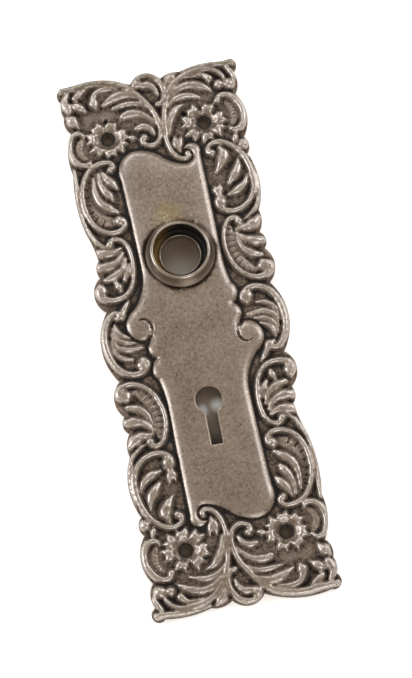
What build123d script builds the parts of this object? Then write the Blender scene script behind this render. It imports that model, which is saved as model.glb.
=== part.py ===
"""Pressed steel door backplate with a drawn knob collar, in the rococo scroll taste.

Frame: origin on the door's face under the middle of the plate, +X to the right, +Y towards the
knob end, +Z out of the door. Millimetres.
"""

import os
from math import copysign, sqrt

from build123d import *

# The plate: overall size, sheet, and the heights that the press gives it
plate_width = 65.4
plate_length = 192.9
sheet = 1.2
ground_height = 2.2
panel_height = 4.0
panel_rounding = 0.8

# The size of plate that the ornament and the outline below are drawn on
drawn_width = 65.4
drawn_length = 192.9
centre_strip = 14.0

# Relief: how high a ridge stands for its width, and how deep its root runs into the sheet
roll_steepness = 1.9
leaf_steepness = 1.5
tallest_ridge = 2.3
ridge_root = 0.45
roll_flat = 0.45

# Screws, with a rosette of petals round each
screw_spacing_x = 34.3
screw_spacing_y = 148.0
screw_hole_radius = 1.75
countersink_radius = 2.9
countersink_angle = 100
petal_count = 7
petal_turn = 20.0

# Keyhole for a bit key
keyhole_y = -24.9
keyhole_radius = 4.5
keyhole_slot_width = 3.8
keyhole_foot_y = -40.6

# Knob collar: a drawn cup that sits on the panel, with its spigot pressed through
collar_y = 27.6
collar_bore_radius = 9.15
collar_wall = 0.9
collar_rise = 4.8
collar_depth = 6.5
collar_floor = 0.8
collar_foot_radius = 12.1
collar_lip_radius = 6.85

side_shift = (plate_width - drawn_width) / 2
end_shift = (plate_length - drawn_length) / 2


def at_side(x, y):
    """A point of the side borders, which keep their distance from the plate's edge."""
    return x + copysign(side_shift, x), y


def at_end(x, y):
    """A point of the plate's ends, of which the corners also follow the sides."""
    shift = copysign(side_shift, x) if abs(x) > centre_strip else 0
    return x + shift, y + copysign(end_shift, y)


def half_turn(points):
    """The same points on the other half of the plate."""
    return [(-x, -y, *rest) for x, y, *rest in points]


# The outline, as notch, crest, notch and so on: along the knob end, then down the right side
end_rim = [
    (-30.8, 90.9), (-31.3, 95.0), (-28.2, 95.6), (-18.5, 96.45), (-6.0, 92.9), (-1.2, 95.85),
    (5.0, 93.2), (8.8, 94.75), (12.4, 94.4), (19.5, 95.65), (28.0, 95.2), (31.9, 95.0),
    (30.5, 91.1), (31.6, 87.0), (29.9, 82.8), (32.6, 75.0), (29.8, 66.4), (31.2, 63.1),
]
right_rim = [
    (29.7, 60.1), (32.2, 49.5), (29.8, 39.0), (30.2, 35.4), (28.4, 31.0), (30.3, 27.6),
    (29.0, 25.0), (31.5, 17.8), (28.5, 12.6), (32.7, 0.0), (28.5, -12.5), (31.8, -18.6),
    (28.6, -25.0), (29.45, -28.0), (28.1, -30.9), (29.2, -37.0), (30.6, -41.4), (32.05, -50.8),
]
foot_rim = [
    (31.3, -63.5), (31.9, -70.5), (29.3, -79.0), (31.2, -82.6), (30.8, -85.2), (31.5, -88.2),
]
half_rim = [at_end(*p) for p in end_rim] + [at_side(*p) for p in right_rim]
half_rim += [at_end(*p) for p in foot_rim]
rim = half_rim + half_turn(half_rim)

with BuildSketch() as plate_outline:
    with BuildLine():
        for i in range(0, len(rim), 2):
            ThreePointArc(rim[i], rim[i + 1], rim[(i + 2) % len(rim)])
    make_face()

# The panel, drawn the same way: down its left flank, round the ear, the cusp and the hook, and
# along its end
flank_and_ear = [
    (-14.5, 42.0), (-14.0, 24.0), (-15.6, 16.3), (-19.6, 10.6), (-22.7, 5.2), (-19.6, 0.3),
    (-17.2, -0.1), (-14.8, 0.8), (-15.6, -0.9), (-16.7, -3.0), (-16.4, -5.2), (-14.4, -7.3),
    (-16.5, -9.9), (-15.2, -14.8), (-14.2, -20.0), (-13.9, -26.0), (-13.75, -45.0),
]
hook_and_end = [
    (-13.5, -63.0), (-11.4, -67.0), (-8.4, -65.6), (-11.2, -63.0), (-8.2, -59.9), (-4.5, -60.9),
    (0.0, -64.0), (4.4, -66.8), (9.0, -67.6), (13.7, -65.1), (15.2, -58.0),
]
half_panel = flank_and_ear + [(x, y - end_shift) for x, y in hook_and_end]
panel = half_panel + half_turn(half_panel)


def inset(points, distance):
    """The outline's points moved square to it, towards its inside."""
    moved = []
    for i, (x, y) in enumerate(points):
        before, after = points[i - 1], points[(i + 1) % len(points)]
        along = Vector(after[0] - before[0], after[1] - before[1]).normalized()
        moved.append((x - distance * along.Y, y + distance * along.X))
    return moved


panel_levels = []
for height, points in (
    (0, panel),
    (panel_height - panel_rounding, panel),
    (panel_height, inset(panel, panel_rounding)),
):
    with BuildSketch(Plane.XY.offset(height)) as level:
        with BuildLine():
            for i in range(1, len(points), 2):
                ThreePointArc(points[i - 2], points[i - 1], points[i])
        make_face()
    panel_levels.append(level.sketch.face())
panel_foot, panel_shoulder, panel_top = panel_levels

# Ridges of the relief: each is a list of points on its crest, with its half width there.
# A half width of 0 is a pointed tip.
end_rolls = [
    # left stem, from its curl over the panel to the corner
    [(-4.7, 72.0, 1.82), (-4.7, 69.8, 1.12), (-2.6, 68.6, 1.12), (0.0, 69.5, 1.12), (1.4, 72.6, 1.12),
     (1.5, 76.4, 1.19), (0.2, 81.0, 1.26), (-2.9, 86.4, 1.26), (-7.2, 91.0, 1.33),
     (-13.0, 93.9, 1.43), (-21.0, 94.8, 1.52), (-30.2, 94.2, 1.14)],
    # right stem, from the panel's hook to the corner
    [(9.3, 63.4, 1.4), (8.3, 61.8, 1.05), (6.1, 62.4, 1.12), (4.1, 65.0, 1.12), (3.0, 70.0, 1.12),
     (3.2, 75.5, 1.19), (4.4, 81.2, 1.26), (6.6, 86.4, 1.26), (10.2, 90.5, 1.33), (15.0, 92.6, 1.4),
     (20.6, 93.2, 1.26), (24.9, 91.7, 1.12), (26.9, 88.2, 0.56)],
    # scroll in the middle of the end
    [(-4.4, 91.6, 1.86), (-3.4, 93.9, 0.93), (-0.4, 94.6, 1.1), (3.0, 92.9, 1.26), (5.0, 89.4, 1.26),
     (4.9, 85.8, 1.12), (2.2, 83.2, 1.26)],
    # last leaf of each stem, curled into a bulb
    [(-10.5, 91.4, 0.7), (-15.5, 92.2, 1.26), (-18.9, 90.6, 1.4), (-19.7, 87.2, 2.38)],
    [(12.0, 90.6, 0.56), (17.5, 90.5, 0.84), (21.2, 88.3, 1.68)],
    # corner volutes
    [(-28.6, 92.4, 1.12), (-30.1, 89.0, 1.11), (-28.5, 86.3, 1.82), (-25.4, 85.9, 1.68),
     (-23.3, 87.8, 1.12)],
    [(28.9, 92.2, 1.12), (30.3, 88.6, 1.1), (28.8, 85.4, 1.82), (26.0, 84.7, 1.54), (24.2, 86.8, 1.12)],
    # small scrolls beside the rosettes
    [(-25.6, 76.7, 1.26), (-28.2, 77.3, 1.33), (-30.3, 74.2, 1), (-30.6, 70.6, 1.09),
     (-29.0, 67.0, 1.4), (-26.4, 65.6, 1.26), (-24.5, 66.8, 0.98)],
    [(23.3, 81.0, 1.68), (25.5, 82.5, 1.26), (28.4, 81.4, 1.4), (30.6, 77.8, 1.39), (31.0, 73.6, 1.36),
     (29.2, 69.8, 1.4), (26.7, 69.3, 1.26), (25.4, 70.9, 0.84)],
]
end_leaves = [
    # off the left stem
    [(-0.6, 72.9, 0.72), (-2.0, 75.3, 1.45), (-4.2, 76.6, 1.59), (-6.8, 76.3, 0)],
    [(0.4, 77.0, 0.72), (-2.6, 80.7, 1.59), (-7.4, 81.6, 1.74), (-11.9, 80.3, 0)],
    [(-1.0, 82.3, 0.72), (-5.2, 85.5, 1.45), (-9.6, 85.3, 1.16), (-13.2, 84.1, 0)],
    [(-3.8, 86.8, 0.87), (-8.6, 89.2, 2.4), (-13.4, 88.3, 2.32), (-17.2, 86.0, 0)],
    [(-21.6, 93.4, 0.87), (-24.6, 91.4, 1.59), (-25.9, 88.6, 0)],
    # off the right stem
    [(6.9, 64.6, 0.72), (6.6, 67.6, 2.03), (7.3, 71.2, 0)],
    [(3.9, 71.5, 0.72), (5.2, 76.6, 1.74), (8.2, 80.6, 1.59), (11.3, 81.5, 0)],
    [(5.0, 81.0, 0.58), (9.4, 84.5, 1.16), (13.6, 84.5, 1.01), (17.4, 83.1, 0)],
    [(6.2, 84.2, 0.72), (11.2, 87.8, 2.4), (16.4, 87.2, 2.32), (20.9, 84.8, 0)],
    # edge over the right stem
    [(12.6, 93.8, 0.43), (18.5, 94.6, 0.76), (25.0, 94.3, 1.09), (30.4, 94.2, 1.45)],
    # beside the middle scroll
    [(6.2, 88.3, 0.72), (8.0, 91.6, 2.32), (10.6, 94.2, 0.5)],
    # lobes on the edge under the corners
    [(-29.6, 84.2, 1.27), (-28.3, 82.4, 2.32), (-26.6, 79.6, 0)],
    [(27.4, 62.6, 1.01), (28.9, 63.3, 2.1), (30.2, 63.8, 0.8)],
]
side_rolls = [
    # upper left scroll
    [(-17.9, 63.0, 1.82), (-20.3, 65.3, 1.12), (-24.4, 64.1, 1.19), (-27.8, 60.4, 1.26),
     (-29.5, 55.0, 1.26), (-29.5, 49.5, 1.26), (-27.8, 44.0, 1.26), (-24.3, 40.5, 1.19),
     (-20.2, 39.5, 1.19), (-17.4, 41.0, 1.26), (-17.9, 43.6, 1.68)],
    # second left scroll
    [(-23.2, 35.6, 1.82), (-20.8, 37.0, 1.12), (-18.1, 35.2, 1.05), (-16.8, 31.0, 1.05),
     (-16.8, 25.5, 1.05), (-18.2, 19.9, 1.12), (-21.6, 16.3, 1.19), (-25.8, 15.6, 1.33),
     (-28.9, 17.2, 1.82), (-29.0, 19.6, 2.4)],
    # middle left scroll and its upper curl
    [(-25.2, 11.0, 1.12), (-28.4, 9.1, 1.4), (-30.6, 4.8, 1.28), (-31.1, 0.0, 1.4), (-30.0, -5.2, 1.47),
     (-27.4, -9.5, 1.4), (-23.6, -11.6, 1.4), (-20.0, -10.9, 1.54), (-18.9, -8.2, 2.24)],
    [(-25.4, 8.8, 0.98), (-24.0, 9.9, 2.1), (-20.3, 14.8, 0.42)],
    # upper right scroll
    [(17.4, 62.6, 1.96), (19.4, 65.5, 1.19), (23.2, 64.7, 1.26), (27.2, 60.8, 1.33), (29.6, 55.0, 1.4),
     (29.9, 49.0, 1.4), (28.0, 43.2, 1.33), (24.2, 40.4, 1.26), (20.0, 39.9, 1.33), (17.0, 41.8, 1.68),
     (17.2, 44.4, 2.24)],
    # second right scroll
    [(22.2, 35.7, 1.82), (20.0, 37.3, 1.19), (17.2, 35.0, 1.12), (15.8, 30.5, 1.12), (16.0, 25.2, 1.12),
     (18.0, 19.8, 1.12), (21.6, 16.1, 1.19), (25.6, 14.8, 1.4), (28.5, 16.0, 1.82), (28.2, 18.6, 2.4)],
]
side_leaves = [
    # edges outside the upper scrolls
    [(-30.7, 64.0, 0.51), (-31.2, 54.5, 0.75), (-31.0, 46.5, 0.65), (-28.6, 39.2, 0.94),
     (-24.4, 34.4, 0.43)],
    [(30.6, 58.6, 0.4), (31.3, 50.0, 0.69), (29.9, 42.0, 0.85), (24.0, 36.1, 0.43)],
    # in the upper left scroll
    [(-21.2, 62.0, 0.72), (-20.0, 58.5, 1.74), (-16.9, 54.8, 0)],
    [(-22.9, 62.2, 0.72), (-22.9, 57.0, 1.74), (-19.6, 50.9, 0)],
    [(-24.8, 60.0, 0.58), (-25.0, 53.5, 1.59), (-22.3, 48.9, 1.59), (-17.6, 45.9, 0)],
    # in the second left scroll
    [(-19.8, 33.6, 0.72), (-24.0, 32.5, 1.89), (-27.6, 34.0, 0.73)],
    [(-19.4, 31.8, 0.72), (-23.4, 28.2, 1.89), (-28.4, 28.0, 0.85)],
    [(-18.8, 29.6, 0.72), (-22.0, 25.0, 1.74), (-27.5, 22.9, 0.43)],
    [(-18.0, 27.4, 0.72), (-18.8, 24.6, 1.45), (-20.5, 22.0, 0)],
    # in the middle left scroll
    [(-26.9, 7.0, 0.58), (-25.6, 3.4, 1.3), (-22.1, 1.2, 0)],
    [(-27.8, 6.0, 0.43), (-26.2, 1.2, 1.3), (-20.9, -0.5, 0)],
    [(-28.6, 4.0, 0.43), (-26.6, -1.6, 1.59), (-18.9, -2.8, 0)],
    [(-29.2, 1.5, 0.43), (-27.4, -4.4, 1.3), (-22.7, -6.4, 0)],
    # in the upper right scroll
    [(20.9, 63.6, 0.87), (21.0, 59.0, 2.4), (17.6, 54.2, 0)],
    [(26.2, 58.3, 0.58), (25.0, 53.6, 1.74), (21.6, 49.9, 0)],
    [(28.3, 52.0, 0.58), (25.8, 48.0, 1.59), (20.1, 46.0, 0)],
    [(17.0, 46.4, 1.16), (17.0, 48.6, 2.03), (18.0, 51.0, 0)],
    # in the second right scroll
    [(18.2, 34.2, 0.58), (17.9, 29.0, 1.3), (18.8, 23.6, 1.45), (22.4, 18.4, 1.3), (25.0, 17.2, 0.58)],
    [(21.0, 33.2, 0.72), (25.6, 33.9, 2.32), (29.4, 36.9, 0.62)],
    [(20.4, 31.8, 0.72), (24.4, 28.2, 1.89), (29.2, 27.5, 0.89)],
    [(20.2, 30.0, 0.58), (22.2, 25.2, 1.74), (28.2, 22.2, 0.43)],
]


def ridge(points, steepness, flat):
    """A faceted ridge along its crest points; flat is the share of its width left level on top."""
    runs = [Vector(b[0] - a[0], b[1] - a[1], 0).normalized() for a, b in zip(points, points[1:])]
    sections = []
    for (x, y, half_width), run_in, run_out in zip(points, runs[:1] + runs, runs + runs[-1:]):
        along = (run_in + run_out).normalized()
        across = Vector(-along.Y, along.X, 0)
        foot = Vector(x, y, ground_height - ridge_root)
        if half_width == 0:
            sections.append([foot] * len(sections[0]))
            continue
        rise = min(steepness * sqrt(half_width), tallest_ridge)
        half = across * half_width / along.dot(run_in)
        level, crest = Vector(0, 0, ridge_root), Vector(0, 0, ridge_root + rise)
        tops = [half * flat + crest, half * -flat + crest] if flat else [crest]
        corners = [-half, half, half + level, *tops, level - half]
        sections.append([foot + corner for corner in corners])
    facets = [sections[0], sections[-1]] if points[-1][2] else [sections[0]]
    for near, far in zip(sections, sections[1:]):
        for i in range(len(near)):
            facets.append([near[i - 1], near[i], far[i]])
            if far[i] != far[i - 1]:
                facets.append([near[i - 1], far[i], far[i - 1]])
    return Solid(Shell([Face(Wire.make_polygon(corners)) for corners in facets]))


relief = []
for strokes, place, steepness, flat in (
    (end_rolls, at_end, roll_steepness, roll_flat),
    (end_leaves, at_end, leaf_steepness, 0),
    (side_rolls, at_side, roll_steepness, roll_flat),
    (side_leaves, at_side, leaf_steepness, 0),
):
    for stroke in strokes:
        points = [(*place(x, y), half_width) for x, y, half_width in stroke]
        relief.append(ridge(points, steepness, flat))
        relief.append(ridge(half_turn(points), steepness, flat))

# One petal of a rosette, pointing along +X from the screw
petal_points = [(3.3, 0, 1.2), (5.0, 0, 2.1), (7.3, 0, 0)]
petal = ridge(petal_points, leaf_steepness, 0)

screw_places = [
    (x * screw_spacing_x / 2, y * screw_spacing_y / 2) for x in (-1, 1) for y in (-1, 1)
]
spigot_radius = collar_bore_radius + collar_wall

# The hollow behind the panel stops a sheet's thickness inside the panel's flanks, ends and ears
pocket_half_width = -hook_and_end[0][0] - sheet - panel_rounding
pocket_half_length = -hook_and_end[4][1] + end_shift - sheet - panel_rounding
pocket_rounding = 4.0
ear_pocket = [
    (-pocket_half_width, 15.0), (-17.7, 10.6), (-20.6, 6.4), (-20.2, 3.2), (-18.0, 2.0),
    (-pocket_half_width, 8.0),
]

with BuildPart() as door_plate:
    extrude(plate_outline.sketch, amount=ground_height)
    extrude(panel_foot, amount=panel_height - panel_rounding)
    loft([panel_shoulder, panel_top], ruled=True)
    add(relief)
    # rosettes
    for x, y in screw_places:
        with Locations((x, y, 0)):
            with PolarLocations(0, petal_count, start_angle=petal_turn):
                add(petal)
    # the back is hollow: the sheet follows the ground and the panel
    with BuildSketch():
        Polygon(*inset(rim, -sheet)[::2], align=None)
    extrude(amount=ground_height - sheet, mode=Mode.SUBTRACT)
    with BuildSketch():
        Rectangle(2 * pocket_half_width, 2 * pocket_half_length)
        fillet(vertices(), pocket_rounding)
        for turn in (1, -1):
            Polygon(*[(turn * x, turn * y) for x, y in ear_pocket], align=None)
    extrude(amount=panel_height - sheet, mode=Mode.SUBTRACT)
    with Locations(*[(x, y, ground_height) for x, y in screw_places]):
        CounterSinkHole(screw_hole_radius, countersink_radius, counter_sink_angle=countersink_angle)
    with BuildSketch():
        with Locations((0, keyhole_y)):
            Circle(keyhole_radius)
            Rectangle(keyhole_slot_width, keyhole_y - keyhole_foot_y, align=(Align.CENTER, Align.MAX))
        with Locations((0, collar_y)):
            Circle(spigot_radius)
    extrude(amount=panel_height, mode=Mode.SUBTRACT)

# The collar's section, from its foot on the panel round the rim and down into the cup
rim_height = panel_height + collar_rise
floor_height = rim_height - collar_depth
with BuildPart() as knob_collar:
    with BuildSketch(Plane.XZ.offset(-collar_y)):
        Polygon(
            (collar_foot_radius, panel_height),
            (spigot_radius, rim_height),
            (collar_bore_radius, rim_height),
            (collar_bore_radius, floor_height),
            (collar_lip_radius, floor_height),
            (collar_lip_radius, floor_height - collar_floor),
            (spigot_radius, floor_height - collar_floor),
            (spigot_radius, panel_height),
            align=None,
        )
    revolve(axis=Axis((0, collar_y, 0), (0, 0, 1)))

door_plate.part.label = "door_plate"
knob_collar.part.label = "knob_collar"

os.makedirs("parts", exist_ok=True)
export_step(door_plate.part, "parts/door_plate.step")
export_step(knob_collar.part, "parts/knob_collar.step")
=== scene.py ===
from math import atan2, ceil, cos, hypot, pi, radians, sin

import bmesh
import bpy
import numpy as np
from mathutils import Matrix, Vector
from mathutils.geometry import delaunay_2d_cdt
from mathutils.kdtree import KDTree


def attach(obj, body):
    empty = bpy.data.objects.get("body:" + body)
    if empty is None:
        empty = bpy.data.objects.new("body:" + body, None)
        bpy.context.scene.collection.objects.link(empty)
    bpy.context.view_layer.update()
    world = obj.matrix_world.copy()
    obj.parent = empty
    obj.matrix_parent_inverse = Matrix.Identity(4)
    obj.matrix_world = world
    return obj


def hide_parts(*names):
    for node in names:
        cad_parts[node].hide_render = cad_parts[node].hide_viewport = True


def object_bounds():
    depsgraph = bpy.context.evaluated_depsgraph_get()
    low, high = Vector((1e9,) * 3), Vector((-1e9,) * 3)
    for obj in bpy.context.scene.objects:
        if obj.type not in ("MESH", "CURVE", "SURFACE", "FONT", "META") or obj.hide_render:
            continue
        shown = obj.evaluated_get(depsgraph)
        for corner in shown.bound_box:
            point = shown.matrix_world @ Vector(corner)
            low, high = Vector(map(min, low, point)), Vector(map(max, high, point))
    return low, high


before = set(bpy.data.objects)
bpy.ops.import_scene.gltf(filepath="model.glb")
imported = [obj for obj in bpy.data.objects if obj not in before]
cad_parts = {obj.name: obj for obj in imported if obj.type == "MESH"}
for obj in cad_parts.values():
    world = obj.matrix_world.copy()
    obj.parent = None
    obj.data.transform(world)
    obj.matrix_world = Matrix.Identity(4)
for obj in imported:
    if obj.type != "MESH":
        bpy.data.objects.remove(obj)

cad_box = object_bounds()

# Door plate: one sheet of mild steel, pressed between dies, so that its scrolls, leaves and plain
# panel stand out in front and are hollow behind. Years of hands have rubbed the high points
# bright, and old dirt keeps the ground brown; a painted highlight is added on the high points,
# and painted shade in the hollows, along the panel and on the cut edges.
sheet = 1.2
ground_height = 2.2
panel_height = 4.0
tallest_ridge = 2.3
screw_places = [(x, y) for x in (-17.15, 17.15) for y in (-74.0, 74.0)]
screw_hole_radius, countersink_radius, countersink_slope = 1.75, 2.9, 0.84
keyhole_centre, keyhole_radius, keyhole_slot, keyhole_foot = -24.9, 4.5, 1.9, -40.6
collar_y, spigot_radius = 27.6, 10.05


def half_turn(points):
    """The same points on the other half of the plate."""
    return [(-x, -y, *rest) for x, y, *rest in points]


def both_halves(points):
    """The points as drawn and turned to the other half."""
    return points, half_turn(points)


# outline, as notch, crest, notch and so on
half_rim = [
    (-30.8, 90.9), (-31.3, 95.0), (-28.2, 95.6), (-18.5, 96.45), (-6.0, 92.9), (-1.2, 95.85),
    (5.0, 93.2), (8.8, 94.75), (12.4, 94.4), (19.5, 95.65), (28.0, 95.2), (31.9, 95.0),
    (30.5, 91.1), (31.6, 87.0), (29.9, 82.8), (32.6, 75.0), (29.8, 66.4), (31.2, 63.1),
    (29.7, 60.1), (32.2, 49.5), (29.8, 39.0), (30.2, 35.4), (28.4, 31.0), (30.3, 27.6),
    (29.0, 25.0), (31.5, 17.8), (28.5, 12.6), (32.7, 0.0), (28.5, -12.5), (31.8, -18.6),
    (28.6, -25.0), (29.45, -28.0), (28.1, -30.9), (29.2, -37.0), (30.6, -41.4), (32.05, -50.8),
    (31.3, -63.5), (31.9, -70.5), (29.3, -79.0), (31.2, -82.6), (30.8, -85.2), (31.5, -88.2),
]
# panel, drawn the same way: left flank, ear, cusp, hook and end
half_panel = [
    (-13.9, -26.0), (-13.75, -45.0),
    (-13.5, -63.0), (-11.4, -67.0), (-8.4, -65.6), (-11.2, -63.0), (-8.2, -59.9), (-4.5, -60.9),
    (0.0, -64.0), (4.4, -66.8), (9.0, -67.6), (13.7, -65.1), (15.2, -58.0), (14.5, -42.0),
    (14.0, -24.0), (15.6, -16.3), (19.6, -10.6), (22.7, -5.2), (19.6, -0.3), (17.2, 0.1),
    (14.8, -0.8), (15.6, 0.9), (16.7, 3.0), (16.4, 5.2), (14.4, 7.3), (16.5, 9.9), (15.2, 14.8),
    (14.2, 20.0),
]


def arcs(points, step):
    """A closed line of arcs, each from a notch through a crest to the next notch."""
    line = []
    for i in range(0, len(points), 2):
        (ax, ay), (bx, by), (cx, cy) = points[i], points[i + 1], points[(i + 2) % len(points)]
        twice = 2 * (ax * (by - cy) + bx * (cy - ay) + cx * (ay - by))
        a2, b2, c2 = ax * ax + ay * ay, bx * bx + by * by, cx * cx + cy * cy
        x = (a2 * (by - cy) + b2 * (cy - ay) + c2 * (ay - by)) / twice
        y = (a2 * (cx - bx) + b2 * (ax - cx) + c2 * (bx - ax)) / twice
        radius = hypot(ax - x, ay - y)
        start, middle, end = (atan2(q - y, p - x) for p, q in ((ax, ay), (bx, by), (cx, cy)))
        sweep = (end - start) % (2 * pi)
        if (middle - start) % (2 * pi) > sweep:
            sweep -= 2 * pi
        count = max(3, ceil(abs(sweep) * radius / step))
        turns = start + sweep * np.arange(count) / count
        line.append(np.column_stack([x + radius * np.cos(turns), y + radius * np.sin(turns)]))
    return np.vstack(line)


def ring(x, y, radius, count):
    """Points set evenly round a circle."""
    turns = 2 * pi * np.arange(count) / count
    return np.column_stack([x + radius * np.cos(turns), y + radius * np.sin(turns)])


fine, coarse = 0.37, 1.4
rim = arcs(half_rim + half_turn(half_rim), fine)
panel_edge = arcs(half_panel + half_turn(half_panel), fine)
slot_corner = atan2(-(keyhole_radius**2 - keyhole_slot**2) ** 0.5, keyhole_slot)
bow = np.linspace(slot_corner, pi - slot_corner, 60)
slot = np.linspace(keyhole_centre + keyhole_radius * sin(slot_corner), keyhole_foot, 30)[1:]
foot = np.linspace(keyhole_slot, -keyhole_slot, 9)[:-1]
keyhole = np.vstack([
    np.column_stack([keyhole_radius * np.cos(bow), keyhole_centre + keyhole_radius * np.sin(bow)]),
    np.column_stack([-keyhole_slot + 0 * slot, slot]),
    np.column_stack([-foot, keyhole_foot + 0 * foot])[1:],
    np.column_stack([keyhole_slot + 0 * slot, slot[::-1]]),
])
collar_hole = ring(0, collar_y, spigot_radius, 96)
screw_holes = [ring(x, y, screw_hole_radius, 40) for x, y in screw_places]
holes = [keyhole, collar_hole, *screw_holes]


def inside(points, line):
    """Which points lie inside a closed line."""
    result = np.zeros(len(points), bool)
    x, y = points[:, 0], points[:, 1]
    for (ax, ay), (bx, by) in zip(line, np.roll(line, -1, axis=0)):
        crosses = (ay > y) != (by > y)
        if by != ay:
            result ^= crosses & (x < (bx - ax) * (y - ay) / (by - ay) + ax)
    return result


def distance(points, line):
    """How far each point is from a closed line, less than nothing outside it."""
    tree = KDTree(2 * len(line))
    middles = (line + np.roll(line, -1, axis=0)) / 2
    for i, (x, y) in enumerate(np.vstack([line, middles])):
        tree.insert((x, y, 0), i)
    tree.balance()
    away = np.array([tree.find((x, y, 0))[2] for x, y in points])
    return np.where(inside(points, line), away, -away)


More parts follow.
